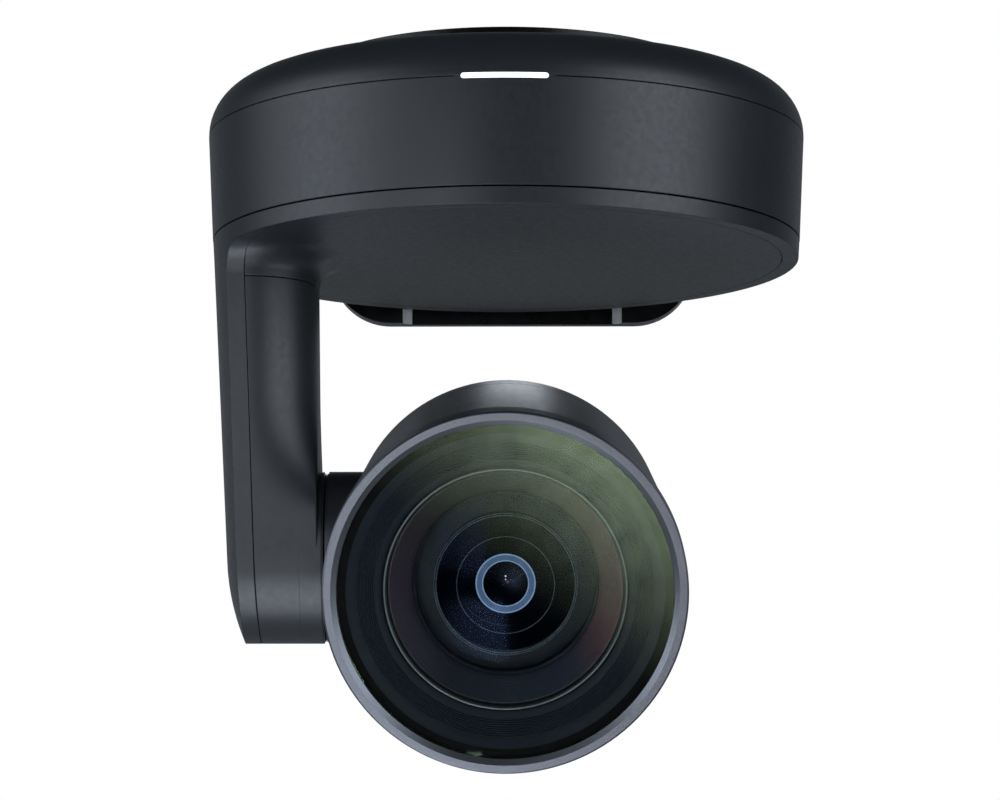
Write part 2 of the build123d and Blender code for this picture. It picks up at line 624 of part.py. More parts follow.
def head_shell():
    """Tapered sleeve with the neck that reaches to the arm's collar."""
    joint_radius = head_radius(CAP_JOINT)
    front, rear = RING_REAR - 0.15, CAP_JOINT + 0.1
    body = turned([(0, rear), (joint_radius, rear), (HEAD_FRONT_RADIUS, front), (0, front)])
    neck = Pos(NECK_FACE, 0, 0) * Rot(0, 90, 0)
    body += neck * (drum(NECK_RADIUS, 0.5, 30) + drum(NECK_RADIUS - COLLAR_STEP, 0, 1))
    body -= turned([
        (0, rear - 1), (joint_radius - WALL, rear - 1), (HEAD_FRONT_RADIUS - WALL, front + 1), (0, front + 1),
    ])
    body -= neck * drum(NECK_RADIUS - WALL, NECK_WALL, 14)
    for y in (-FLANGE_SCREW, FLANGE_SCREW):
        body -= neck * Pos(0, y, 0) * drum(1.2, 0.4, 6)
    return HEAD * (body - neck * drum(SHAFT_RADIUS + 0.1, -1, 14))


def head_cap():
    """Dished rear cover of the head with its cooling slots."""
    rear_radius, joint_radius = HEAD_REAR_RADIUS, head_radius(CAP_JOINT)
    inside, front = HEAD_REAR + WALL, CAP_JOINT - 0.1
    body = turned([(0, HEAD_REAR), (rear_radius, HEAD_REAR, CAP_CORNER), (joint_radius, front), (0, front)])
    body -= turned([
        (0, inside), (rear_radius - WALL, inside, CAP_CORNER - 1), (joint_radius - WALL, front + 1),
        (0, front + 1),
    ])
    for i in range(-3, 4):
        body -= Pos(0, i * 5.0, HEAD_REAR - 1) * extrude(SlotOverall(34, 1.8), 6)
    return HEAD * body


def tilt_shaft():
    """Hollow shaft with the flange that is screwed inside the head's neck."""
    flange_x = NECK_FACE + NECK_WALL
    body = along_x(SHAFT_RADIUS, TILT_GEAR_X, flange_x) + along_x(13.5, flange_x, flange_x + 2)
    body -= along_x(SHAFT_BORE, -80, 0)
    for y in (-FLANGE_SCREW, FLANGE_SCREW):
        body -= HEAD * Pos(-50, y, 0) * Rot(0, 90, 0) * drum(1.3, 0, 20)
    return body


def hood_ring():
    """Metal trim ring: bevelled edge, flat face and inner bevel, with a spigot inside the shell."""
    front, rear = HEAD_FRONT, RING_REAR
    bore, lip = RING_BORE, HEAD_FRONT_RADIUS - WALL - 0.3
    spigot = rear - 2.6
    return HEAD * turned([
        (bore, 50.6), (bore, front - 1.2), (bore + 1.35, front, 0.12), (RING_RADIUS - 0.4, front, 0.2),
        (RING_RADIUS, front - 0.5, 0.3), (RING_RADIUS, rear, 0.2), (lip, rear), (lip, spigot),
        (lip - 0.7, spigot), (lip - 0.7, 50.6),
    ])


def cover_glass():
    return HEAD * drum(RING_BORE - 0.1, *GLASS)


# ---- head: lens ----
def ribbed_baffle():
    """Funnel with fine stepped ribs between the glass and the lens."""
    points = [(BAFFLE_OUTER, BAFFLE_FRONT)]
    step_r = (BAFFLE_OUTER - 1.2 - BAFFLE_INNER - 1.2) / RIBS
    step_z = (BAFFLE_FRONT - BAFFLE_BACK) / RIBS
    r, z = BAFFLE_OUTER - 0.3, BAFFLE_FRONT - 0.2
    for _ in range(RIBS):
        points += [(r, z), (r - 0.25 * step_r, z - step_z), (r - 0.95 * step_r, z - 0.95 * step_z)]
        r, z = r - step_r, z - step_z
    points += [(BAFFLE_INNER, z), (BAFFLE_INNER, 46.4), (37.0, 46.4), (41.3, 50.4), (41.3, BAFFLE_FRONT)]
    return HEAD * turned(points)


def retaining_ring():
    outer = BAFFLE_INNER - 0.05
    return HEAD * turned([(outer, 46.5), (outer, 48.6), (29.8, 48.9), (29.3, 48.6), (29.1, 46.5)])


def lens_bezel():
    """Fine-lined cone round the front lens."""
    points = [(BEZEL_OUTER, BEZEL_FRONT)]
    lines = 10
    step_r, step_z = (BEZEL_OUTER - BEZEL_INNER) / lines, (BEZEL_FRONT - BEZEL_BACK) / lines
    for i in range(1, lines + 1):
        r, z = BEZEL_OUTER - i * step_r, BEZEL_FRONT - i * step_z
        points += [(r + 0.08, z + 0.25), (r, z)]
    points += [(BEZEL_INNER, 37.2), (BEZEL_OUTER + 0.3, 37.2), (BEZEL_OUTER + 0.3, BEZEL_FRONT)]
    return HEAD * turned(points)


def lens_barrel():
    """Stepped barrel that holds the lens groups; its inner flange locates the rods."""
    body = turned([
        (BEZEL_OUTER + 0.35, 46.3), (BEZEL_OUTER + 0.35, 37.2), (24.6, 37.2), (24.6, 31.0), (22.4, 29.0),
        (12.6, 29.0), (12.6, 27.4), (BARREL_BORE, 27.4), (BARREL_BORE, -12.0), (PLATE_RADIUS, -12.0),
        (PLATE_RADIUS, 26.0), (27.0, 32.0), (31.0, 36.0), (31.0, 46.3),
    ])
    for side in (-1, 1):
        body -= Pos(side * ROD_SPREAD, 0, 0) * drum(ROD_RADIUS, 0, 50)
    return HEAD * body


def lens(radius, front, rear, front_curve, rear_curve):
    """Solid of one glass element; a curve is a radius, positive when centred behind the surface."""
    def surface(level, curve, start):
        """Profile of one face, between the axis and the rim, and its height at the rim."""
        def height(r):
            drop = abs(curve) - sqrt(curve * curve - r * r) if curve else 0
            return level - (drop if curve > 0 else -drop)

        axis, rim = Vector(0, level), Vector(radius, height(radius))
        ends = (axis, rim) if start == "axis" else (rim, axis)
        if not curve:
            return Edge.make_line(*ends), rim
        middle = Vector(radius * 0.6, height(radius * 0.6))
        return Edge.make_three_point_arc(ends[0], middle, ends[1]), rim

    front_line, front_rim = surface(front, front_curve, "axis")
    rear_line, rear_rim = surface(rear, rear_curve, "rim")
    axis_line = Edge.make_line(Vector(0, rear), Vector(0, front))
    outline = Wire([axis_line, front_line, Edge.make_line(front_rim, rear_rim), rear_line])
    return revolve(Plane.XZ * Face(outline), Axis.Z)


def front_element():
    return HEAD * lens(23.1, 48.5, 44.0, 40.0, 60.0)


def second_element():
    return HEAD * lens(24.5, 34.8, 30.6, 0, -120.0)


def spacer_ring():
    """Ring with a tall rim that holds the two front elements apart."""
    return HEAD * turned([
        (17.6, 34.9), (23.1, 34.9), (23.1, 39.3), (22.3, 39.0), (22.3, 35.3), (17.6, 35.3),
    ])


def carriage(middle, aperture, slot_angle):
    """Moulded lens carrier with two rod bushes and a nut lug."""
    low, high = middle - 2, middle + 2
    body = tube(15.2, aperture, low, high)
    bore = drum(aperture, -50, 50)
    for side in (-1, 1):
        centre = side * (ROD_SPREAD - 1.2)
        body += block((centre - 2.2, centre + 2.2), (-2.1, 2.1), (low, high)) - bore
        body -= Pos(side * ROD_SPREAD, 0, 0) * drum(ROD_RADIUS + 0.04, -50, 50)
    lug = block((SCREW_ORBIT - 3.7, SCREW_ORBIT + 1.7), (-2.2, 2.2), (low, high))
    lug -= Pos(SCREW_ORBIT, 0, 0) * drum(SCREW_LEAD_RADIUS + 0.05, -50, 50)
    return HEAD * (body + (Rot(0, 0, slot_angle) * lug - bore))


def guide_rods():
    return [HEAD * Pos(side * ROD_SPREAD, 0, 0) * drum(ROD_RADIUS, -13.5, 28.9) for side in (-1, 1)]


def lead_screw(angle, low, high):
    return HEAD * Rot(0, 0, angle) * Pos(SCREW_ORBIT, 0, 0) * drum(SCREW_LEAD_RADIUS, low, high)


def lens_motor(angle):
    """Small stepper behind the barrel's end plate."""
    motor = tube(3.2, SCREW_LEAD_RADIUS + 0.05, -20.5, -13.8)
    return HEAD * Rot(0, 0, angle) * Pos(SCREW_ORBIT, 0, 0) * motor


def iris():
    body = tube(14.6, 5.6, 2.6, 3.4)
    return HEAD * (body + tube(14.6, 12.0, 1.2, 4.8))


def sensor_plate():
    """End plate of the barrel: sensor window, rod seats and motor seats."""
    plate = drum(PLATE_RADIUS, -13.7, -12.05) - block((-6, 6), (-4.5, 4.5), (-20, 0))
    for side in (-1, 1):
        plate -= Pos(side * ROD_SPREAD, 0, 0) * drum(ROD_RADIUS, -50, 50)
    for angle in (ZOOM_ANGLE, FOCUS_ANGLE):
        plate -= Rot(0, 0, angle) * Pos(SCREW_ORBIT, 0, 0) * drum(SCREW_LEAD_RADIUS + 0.05, -50, 50)
    return HEAD * plate


def sensor_board():
    return HEAD * block((-10, 10), (-10, 10), (-16.8, -15.4))


def image_sensor():
    return HEAD * block((-5.5, 5.5), (-4, 4), (-15.4, -14.2))


def heat_sink():
    """Finned aluminium block behind the sensor board."""
    body = block((-12, 12), (-10, 10), (-19.5, -16.9))
    for i in range(-3, 4):
        body += block((-12, 12), (i * 3 - 0.5, i * 3 + 0.5), (-30, -19))
    return HEAD * body


def lens_mount():
    """Cast cradle that ties the lens barrel to the head's shell."""
    plate = tube(40.6, 24.0, 22.0, 24.5)
    for hole in ring_of(drum(4.5, 0, 50), 32.5, 8):
        plate -= hole
    return HEAD * (plate + tube(24.2, PLATE_RADIUS + 0.05, 20.0, 24.5))


# ---- screws ----
def cover_screws():
    """Screws through the base cover and the board into the posts, hidden by the rubber foot."""
    low = BASE_FLAT - FOOT_DEEP - 1.6
    return ring_of(Pos(0, 0, low) * screw(14.0, 1.25, 2.4, 1.5, 1.1), POST_RADIUS, 3, POST_ANGLE)


def foot_screws():
    """Screws that join the arm frame's foot to the turntable, heads above."""
    return at_foot_screws(Pos(0, 0, TURNTABLE[1] + 0.7) * screw(2.2, 1.05, 1.9, 0.6, 0.8))


def table_screws():
    ears = [Pos(0, side * EAR_SPREAD, TABLE_Z + 2.6) * screw(2.5, 1.0, 2.0, 1.4, 1.0) for side in (-1, 1)]
    return [on_pan_motor(ear) for ear in ears]


def flange_screws():
    place = HEAD * Pos(NECK_FACE + NECK_WALL + 2, 0, 0) * Rot(0, 90, 0)
    return [place * Pos(0, y, 0) * screw(3.8, 1.2, 2.2, 1.5, 1.1) for y in (-FLANGE_SCREW, FLANGE_SCREW)]


# ---- write every sub-part ----
save("wall_bracket", wall_bracket())
save("bracket_screw", bracket_screw())
save("rubber_foot", tube(FOOT_OUTER, FOOT_INNER, BASE_FLAT - FOOT_DEEP, SHELF_TOP - SHELF_THICK))
save("thread_insert", tube(INSERT_RADIUS, SCREW_RADIUS, 6.0, BASE_FLAT))
save("base_cover", base_cover())
save("side_band", side_band())
save("light_bar", light_bar())
save("light_board", light_board(), *light_chips())
save("chassis", chassis())
save("outer_race", race(RACE_OUTER, BALL_PITCH_RADIUS + 0.55))
save("inner_race", inner_race())
save("ball_cage", ball_cage(), *bearing_balls())
save("pan_motor", pan_motor())
save("pan_pinion", pan_pinion())
save("pan_gear", pan_gear())
save("gear_clip", gear_clip())
save("main_board", main_board(), *board_chips())
save("port_bay", port_bay())
save("port_board", port_board(), reset_switch())
save("signal_sockets", socket(*SOCKETS[0], 12, 0.5, 2.2), socket(*SOCKETS[1], 9, 0.4, 1.4))
save("power_socket", power_socket())
save("reset_button", reset_button())
save("platform_cover", platform_cover())
save("underside_cover", underside_cover())
save("arm_inner_cover", arm_inner_cover())
save("turntable", turntable())
save("arm_frame", arm_frame())
save("tilt_motor", tilt_motor())
save("tilt_pinion", tilt_pinion())
save("tilt_bush", tilt_bush())
save("arm_ribbon", arm_ribbon())
save("head_shell", head_shell())
save("head_cap", head_cap())
save("tilt_shaft", tilt_shaft())
save("tilt_gear", tilt_gear())
save("hood_ring", hood_ring())
save("cover_glass", cover_glass())
save("ribbed_baffle", ribbed_baffle())
save("retaining_ring", retaining_ring())
save("lens_bezel", lens_bezel())
save("lens_barrel", lens_barrel())
save("lens_mount", lens_mount())
save("front_element", front_element())
save("second_element", second_element())
save("spacer_ring", spacer_ring())
save("guide_rods", *guide_rods())
save("zoom_carriage", carriage(17.0, 11.4, ZOOM_ANGLE))
save("zoom_element", HEAD * lens(11.4, 19.0, 15.4, 30.0, -30.0))
save("focus_carriage", carriage(-4.0, 8.6, FOCUS_ANGLE))
save("focus_element", HEAD * lens(8.6, -2.4, -5.4, 24.0, -24.0))
save("zoom_screw", lead_screw(ZOOM_ANGLE, -19.5, 27.2))
save("focus_screw", lead_screw(FOCUS_ANGLE, -19.5, 27.2))
save("lens_motors", lens_motor(ZOOM_ANGLE), lens_motor(FOCUS_ANGLE))
save("iris", iris())
save("sensor_plate", sensor_plate())
save("sensor_board", sensor_board(), image_sensor())
save("heat_sink", heat_sink())
save("base_screws", *cover_screws(), *table_screws())
save("foot_screws", *foot_screws())
save("flange_screws", *flange_screws())
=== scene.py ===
import json
from math import atan2, cos, pi, radians, sin, sqrt, tan

import bmesh
import bpy
from mathutils import Matrix, Vector


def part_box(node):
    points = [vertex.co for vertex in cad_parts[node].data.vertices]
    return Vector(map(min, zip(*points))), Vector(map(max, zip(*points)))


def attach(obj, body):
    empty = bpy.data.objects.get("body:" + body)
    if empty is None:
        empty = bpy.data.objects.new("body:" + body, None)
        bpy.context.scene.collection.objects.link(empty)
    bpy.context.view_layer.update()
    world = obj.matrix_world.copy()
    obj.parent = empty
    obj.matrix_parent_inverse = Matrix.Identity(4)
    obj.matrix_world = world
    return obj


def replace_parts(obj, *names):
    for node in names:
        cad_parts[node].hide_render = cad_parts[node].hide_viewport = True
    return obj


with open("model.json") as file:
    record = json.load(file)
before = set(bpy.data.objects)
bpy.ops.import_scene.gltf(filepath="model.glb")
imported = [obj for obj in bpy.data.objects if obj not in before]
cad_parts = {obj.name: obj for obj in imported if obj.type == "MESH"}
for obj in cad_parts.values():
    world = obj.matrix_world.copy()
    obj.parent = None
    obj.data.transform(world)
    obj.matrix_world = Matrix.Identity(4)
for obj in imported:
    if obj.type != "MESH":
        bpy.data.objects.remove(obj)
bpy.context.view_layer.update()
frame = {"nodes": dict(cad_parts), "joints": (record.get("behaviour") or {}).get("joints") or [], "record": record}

# Looks of a ceiling-hung pan-tilt-zoom camera. Metres, in the frame's own axes: the wall is at
# y = 0, the lens looks towards -Y and the side arm is on the -X side.

MM = 0.001


# ---- places read from the frame ----
def joint(name):
    return next(j for j in frame["joints"] if j["name"] == name)


PAN = Vector(joint("pan")["pos_m"])
TILT = Vector(joint("tilt")["pos_m"])
FORWARD = Vector(joint("zoom")["axis"]).normalized()
ACROSS = Vector((1, 0, 0))
UPWARD = FORWARD.cross(ACROSS)
HEAD = Matrix((
    (ACROSS.x, UPWARD.x, FORWARD.x, TILT.x),
    (ACROSS.y, UPWARD.y, FORWARD.y, TILT.y),
    (ACROSS.z, UPWARD.z, FORWARD.z, TILT.z),
    (0, 0, 0, 1),
))


def along_lens(node):
    """Where a node begins and ends along the lens axis, as distances ahead of the tilt axis."""
    to_head = HEAD.inverted()
    ahead = [(to_head @ v.co).z for v in frame["nodes"][node].data.vertices]
    return min(ahead), max(ahead)


# ---- node helpers ----
def new_material(name):
    made = bpy.data.materials.new(name)
    made.use_nodes = True
    tree = made.node_tree
    tree.nodes.clear()
    out = tree.nodes.new("ShaderNodeOutputMaterial")
    return made, tree, out


def add(tree, kind, **inputs):
    """A node with some of its sockets set; a key may be a socket's name or i followed by its number."""
    node = tree.nodes.new(kind)
    for key, value in inputs.items():
        socket = node.inputs[int(key[1:])] if key[1:].isdigit() else node.inputs[key.replace("_", " ")]
        if isinstance(value, bpy.types.NodeSocket):
            tree.links.new(value, socket)
        else:
            socket.default_value = value
    return node


def math_node(tree, operation, *values):
    node = tree.nodes.new("ShaderNodeMath")
    node.operation = operation
    for i, value in enumerate(values):
        if isinstance(value, bpy.types.NodeSocket):
            tree.links.new(value, node.inputs[i])
        else:
            node.inputs[i].default_value = value
    return node.outputs[0]


def object_place(tree):
    return tree.nodes.new("ShaderNodeTexCoord").outputs["Object"]


def noise(tree, size, detail=2.0, place=None):
    """Noise whose blotches are about size metres across."""
    node = add(tree, "ShaderNodeTexNoise", Vector=place or object_place(tree), Scale=1 / size,
               Detail=detail, Roughness=0.55)
    return node.outputs["Fac"]


def ramp(tree, value, low, high):
    """Value remapped so that 0.3 to 0.7 becomes low to high."""
    node = add(tree, "ShaderNodeMapRange", Value=value)
    node.inputs["From Min"].default_value = 0.3
    node.inputs["From Max"].default_value = 0.7
    node.inputs["To Min"].default_value = low
    node.inputs["To Max"].default_value = high
    return node.outputs["Result"]


def blend_colours(tree, share, first, second):
    node = tree.nodes.new("ShaderNodeMix")
    node.data_type = "RGBA"
    for socket, value in ((node.inputs[0], share), (node.inputs[6], first), (node.inputs[7], second)):
        if isinstance(value, bpy.types.NodeSocket):
            tree.links.new(value, socket)
        else:
            socket.default_value = (*value, 1) if isinstance(value, tuple) else value
    return node.outputs[2]


def bump(tree, height, depth, soft_edge=0.0):
    """Normal from a height; with soft_edge, sharp edges also catch light as if that much rounded."""
    node = add(tree, "ShaderNodeBump", Height=height)
    node.inputs["Strength"].default_value = 1.0
    node.inputs["Distance"].default_value = depth
    if soft_edge:
        edge = add(tree, "ShaderNodeBevel", Radius=soft_edge)
        edge.samples = 4
        tree.links.new(edge.outputs[0], node.inputs["Normal"])
    return node.outputs[0]


def finish_surface(tree, out, colour, rough, normal, metallic=0.0, **fixed):
    shader = add(tree, "ShaderNodeBsdfPrincipled", Base_Color=colour, Roughness=rough, Normal=normal,
                 Metallic=metallic)
    for key, value in fixed.items():
        shader.inputs[key.replace("_", " ")].default_value = value
    tree.links.new(shader.outputs[0], out.inputs["Surface"])
    return shader


def grained(name, dark, light, rough, swing, grain, depth, cloud=12 * MM, metallic=0.0, edge=0.15 * MM,
            **fixed):
    """Moulded or cast surface: faint clouds of colour, uneven gloss and a fine all-over grain."""
    made, tree, out = new_material(name)
    place = object_place(tree)
    colour = blend_colours(tree, ramp(tree, noise(tree, cloud, 3, place), 0, 1), dark, light)
    gloss = ramp(tree, noise(tree, grain * 9, 3, place), rough - swing, rough + swing)
    normal = bump(tree, noise(tree, grain, 2, place), depth, edge)
    finish_surface(tree, out, colour, gloss, normal, metallic, **fixed)
    return made


# ---- materials ----
def shell_plastic():
    return grained("shell_plastic", (0.0150, 0.0170, 0.0198), (0.0175, 0.0198, 0.0230), 0.40, 0.04,
                   0.16 * MM, 0.003 * MM, cloud=25 * MM, edge=0.3 * MM, IOR=1.5)


def bracket_black():
    return grained("bracket_black", (0.0022, 0.0024, 0.0026), (0.0034, 0.0036, 0.0038), 0.30, 0.06,
                   0.45 * MM, 0.016 * MM, cloud=30 * MM, edge=0.3 * MM, IOR=1.32)


def ring_metal():
    made, tree, out = new_material("ring_metal")
    place = object_place(tree)
    sparkle = add(tree, "ShaderNodeTexVoronoi", Vector=place, Scale=1 / (0.14 * MM))
    colour = blend_colours(tree, ramp(tree, noise(tree, 0.2 * MM, 2, place), 0, 1),
                           (0.125, 0.130, 0.148), (0.190, 0.197, 0.224))
    gloss = ramp(tree, sparkle.outputs["Distance"], 0.34, 0.44)
    normal = bump(tree, noise(tree, 0.17 * MM, 2, place), 0.010 * MM, 0.08 * MM)
    finish_surface(tree, out, colour, gloss, normal, 1.0)
    return made


def inner_black():
    return grained("inner_black", (0.006, 0.0065, 0.0075), (0.010, 0.011, 0.0125), 0.55, 0.08,
                   0.2 * MM, 0.006 * MM, IOR=1.45)


def polar(tree):
    """(distance from the lens axis, angle round it) sockets, in the head's own axes at rest."""
    shift = tree.nodes.new("ShaderNodeMapping")
    shift.vector_type = "TEXTURE"
    tree.links.new(object_place(tree), shift.inputs["Vector"])
    shift.inputs["Location"].default_value = TILT
    shift.inputs["Rotation"].default_value = HEAD.to_euler()
    split = add(tree, "ShaderNodeSeparateXYZ", Vector=shift.outputs[0])
    x, y = split.outputs[0], split.outputs[1]
    square = math_node(tree, "ADD", math_node(tree, "MULTIPLY", x, x), math_node(tree, "MULTIPLY", y, y))
    return math_node(tree, "SQRT", square), math_node(tree, "ARCTAN2", y, x)


BEZEL_REFLECTION_TINTS = (    # painted reflection colours: share of a turn round the lens axis, colour; the first and last are the same place
    (0.0, (0.060, 0.040, 0.062)), (0.16, (0.030, 0.030, 0.046)), (0.25, (0.044, 0.056, 0.082)),
    (0.36, (0.036, 0.042, 0.062)), (0.43, (0.130, 0.052, 0.060)), (0.50, (0.150, 0.085, 0.085)),
    (0.62, (0.120, 0.085, 0.062)), (0.75, (0.040, 0.038, 0.034)), (0.88, (0.050, 0.044, 0.038)),
    (1.0, (0.060, 0.040, 0.062)),
)


def lens_bezel_metal():
    """Fine-turned annulus: concentric lines about the lens axis, with coloured reflections of its coating painted
    round the clock.
    """
    made, tree, out = new_material("lens_bezel_metal")
    radius, angle = polar(tree)
    wave = math_node(tree, "SINE", math_node(tree, "MULTIPLY", radius, 2 * pi / (0.42 * MM)))
    turns = math_node(tree, "MULTIPLY_ADD", angle, 0.5 / pi, 0.5)
    # painted coloured reflections, set by the angle round the lens axis
    reflection_tints = add(tree, "ShaderNodeValToRGB", Fac=turns)
    stops = reflection_tints.color_ramp.elements
    stops[0].position, stops[1].position = BEZEL_REFLECTION_TINTS[0][0], BEZEL_REFLECTION_TINTS[-1][0]
    for place, _ in BEZEL_REFLECTION_TINTS[1:-1]:
        stops.new(place)
    for stop, (_, colour) in zip(stops, BEZEL_REFLECTION_TINTS):
        stop.color = (*colour, 1)
    # random dark patches over the painted reflections
    mottled_reflection = blend_colours(tree, ramp(tree, noise(tree, 2 * MM, 3), 0, 0.35), reflection_tints.outputs[0],
                           (0.03, 0.03, 0.04))
    gloss = ramp(tree, noise(tree, 0.5 * MM), 0.40, 0.5)
    finish_surface(tree, out, mottled_reflection, gloss, bump(tree, wave, 0.010 * MM, 0.05 * MM), 0.3)
    return made


def coated_glass(name, mirror, share, clear, rough=0.02):
    """Thin coated glass: clear straight through, with a tinted mirror that grows at a slant."""
    made, tree, out = new_material(name)
    slant = add(tree, "ShaderNodeFresnel", IOR=1.5)
    smudge = ramp(tree, noise(tree, 6 * MM, 3), 0.75, 1.25)
    amount = math_node(tree, "MULTIPLY", math_node(tree, "MULTIPLY", slant.outputs[0], share), smudge)
    through = add(tree, "ShaderNodeBsdfTransparent", Color=(*clear, 1))
    shine = add(tree, "ShaderNodeBsdfGlossy", Color=(*mirror, 1), Roughness=rough)
    mix = add(tree, "ShaderNodeMixShader", i0=amount, i1=through.outputs[0], i2=shine.outputs[0])
    tree.links.new(mix.outputs[0], out.inputs["Surface"])
    return made


def cover_glass():
    return coated_glass("cover_glass", (0.77, 1.0, 0.65), 0.5, (0.97, 0.98, 0.97))


def lens_glass():
    return coated_glass("lens_glass", (0.35, 0.45, 0.9), 0.12, (0.86, 0.89, 0.92), 0.12)


def light_diffuser():
    """Milky cover lit from behind by a row of lamps."""
    made, tree, out = new_material("light_diffuser")
    place = object_place(tree)
    split = add(tree, "ShaderNodeSeparateXYZ", Vector=place)
    lamp = math_node(tree, "COSINE", math_node(tree, "MULTIPLY", split.outputs[0], 2 * pi / (6 * MM)))
    strength = math_node(tree, "MULTIPLY_ADD", lamp, -0.08, 0.9)
    shader = finish_surface(tree, out, blend_colours(tree, 0.5, (0.9, 0.9, 0.95), (0.95, 0.95, 1.0)), 0.35,
                            bump(tree, noise(tree, 0.3 * MM, 2, place), 0.003 * MM))
    shader.inputs["Emission Color"].default_value = (0.93, 0.93, 1.0, 1)
    tree.links.new(strength, shader.inputs["Emission Strength"])
    return made


def steel():
    return grained("steel", (0.46, 0.47, 0.49), (0.58, 0.59, 0.61), 0.32, 0.08, 0.25 * MM, 0.004 * MM,
                   cloud=4 * MM, metallic=1.0)


def cast_alloy():
    return grained("cast_alloy", (0.42, 0.43, 0.44), (0.56, 0.57, 0.58), 0.5, 0.1, 0.5 * MM, 0.03 * MM,
                   cloud=9 * MM, metallic=1.0)


def brass():
    return grained("brass", (0.62, 0.46, 0.20), (0.74, 0.57, 0.28), 0.28, 0.08, 0.3 * MM, 0.004 * MM,
                   cloud=5 * MM, metallic=1.0)


def gear_plastic():
    return grained("gear_plastic", (0.68, 0.66, 0.60), (0.78, 0.77, 0.71), 0.42, 0.06, 0.3 * MM, 0.004 * MM)


def foot_rubber():
    return grained("foot_rubber", (0.010, 0.010, 0.0105), (0.018, 0.018, 0.0185), 0.75, 0.08,
                   0.3 * MM, 0.02 * MM, cloud=5 * MM)


def circuit_board():
    """Solder mask with copper runs under it."""
    made, tree, out = new_material("circuit_board")
    place = object_place(tree)
    runs = add(tree, "ShaderNodeTexBrick", Vector=place, Scale=1 / (9 * MM))
    runs.inputs["Color1"].default_value = (0.006, 0.060, 0.026, 1)
    runs.inputs["Color2"].default_value = (0.008, 0.070, 0.030, 1)
    runs.inputs["Mortar"].default_value = (0.020, 0.120, 0.050, 1)
    runs.inputs["Mortar Size"].default_value = 0.03
    gloss = ramp(tree, noise(tree, 2 * MM), 0.25, 0.4)
    finish_surface(tree, out, runs.outputs[0], gloss, bump(tree, runs.outputs["Fac"], 0.02 * MM, 0.1 * MM))
    return made


def baffle_blue():
    """Matt blue-black moulding between the cover glass and the lens."""
    return grained("baffle_blue", (0.0085, 0.0120, 0.0200), (0.0110, 0.0150, 0.0240), 0.6, 0.06,
                   0.2 * MM, 0.002 * MM, edge=0.04 * MM, IOR=1.35)


def painted_shade_black():
    """Black ring behind the rim of the cover glass: painted shade of the hood's inside wall."""
    return grained("painted_shade_black", (0.0006, 0.0008, 0.0012), (0.0010, 0.0013, 0.0018), 0.7, 0.08,
                   0.2 * MM, 0.001 * MM, edge=0, IOR=1.2)


def pale_rim_and_highlight():
    """Pale ground rim of a glass element; on the retaining ring, a painted highlight."""
    return grained("pale_rim_and_highlight", (0.10, 0.12, 0.135), (0.17, 0.20, 0.215), 0.28, 0.05,
                   0.2 * MM, 0.002 * MM, edge=0, IOR=1.5)


def painted_recess_highlight():
    """Pale painted highlight in the round corners of the bracket's recess."""
    return grained("painted_recess_highlight", (0.66, 0.67, 0.67), (0.80, 0.80, 0.80), 0.4, 0.06, 0.3 * MM, 0.004 * MM,
                   cloud=6 * MM)


def glowing_painted_reflection(name, low, high, glow):
    """Painted reflection of the lens coatings: its colour glows, though no lamp is there."""
    made, tree, out = new_material(name)
    place = object_place(tree)
    patches = ramp(tree, noise(tree, 1.6 * MM, 2, place), 0, 1)
    colour = blend_colours(tree, patches, low, high)
    relief = bump(tree, noise(tree, 0.3 * MM, 2, place), 0.002 * MM)
    shader = finish_surface(tree, out, colour, 0.35, relief)
    tree.links.new(colour, shader.inputs["Emission Color"])
    shader.inputs["Emission Strength"].default_value = glow
    return made


# painted reflection of the blue coating, glowing
def painted_iris_reflection():
    return glowing_painted_reflection("painted_iris_reflection", (0.034, 0.070, 0.125), (0.062, 0.092, 0.185), 0.75)


# painted highlight on the iris band's edges, glowing
def painted_iris_edge_highlight():
    return glowing_painted_reflection("painted_iris_edge_highlight", (0.16, 0.25, 0.34), (0.23, 0.30, 0.45), 0.85)


# painted glint: a white highlight that glows
def painted_glint():
    return glowing_painted_reflection("painted_glint", (0.75, 0.78, 0.80), (0.90, 0.92, 0.95), 0.9)


# painted glint: a small red reflection that glows
def painted_red_glint():
    return glowing_painted_reflection("painted_red_glint", (0.10, 0.012, 0.018), (0.16, 0.020, 0.026), 0.8)


MATERIALS = {make.__name__: make() for make in (
    shell_plastic, bracket_black, ring_metal, inner_black, lens_bezel_metal, cover_glass, lens_glass,
    light_diffuser, steel, cast_alloy, brass, gear_plastic, foot_rubber, circuit_board, baffle_blue,
    painted_shade_black, pale_rim_and_highlight, painted_recess_highlight, painted_iris_reflection, painted_iris_edge_highlight, painted_glint, painted_red_glint,
)}


def dress(piece, slot):
    """Give a piece its material."""
    piece.data.materials.clear()
    piece.data.materials.append(MATERIALS[slot])


for row in frame["record"]["subparts"]:
    dress(frame["nodes"][row["node"]], row["material_slot"])


# ---- mesh helpers ----
def rounded(corners):
    """Outline of (radius, height) points, where a third number rounds that corner."""
    steps = 5
    line = []
    count = len(corners)
    for i, corner in enumerate(corners):
        point = Vector(corner[:2])
        size = corner[2] if len(corner) > 2 else 0
        if not size:
            line.append(point)
            continue
        back = (Vector(corners[i - 1][:2]) - point).normalized()
        ahead = (Vector(corners[(i + 1) % count][:2]) - point).normalized()
        half = back.angle(ahead) / 2
        first, last = point + back * size / tan(half), point + ahead * size / tan(half)
        centre = point + (back + ahead).normalized() * size / sin(half)
        start, end = first - centre, last - centre
        for k in range(steps + 1):
            line.append(centre + turn(start, end, k / steps))
    return line


def turn(start, end, share):
    """Vector between two of equal length, turned evenly."""
    angle = atan2(start.x * end.y - start.y * end.x, start.dot(end)) * share
    c, s = cos(angle), sin(angle)
    return Vector((start.x * c - start.y * s, start.x * s + start.y * c))


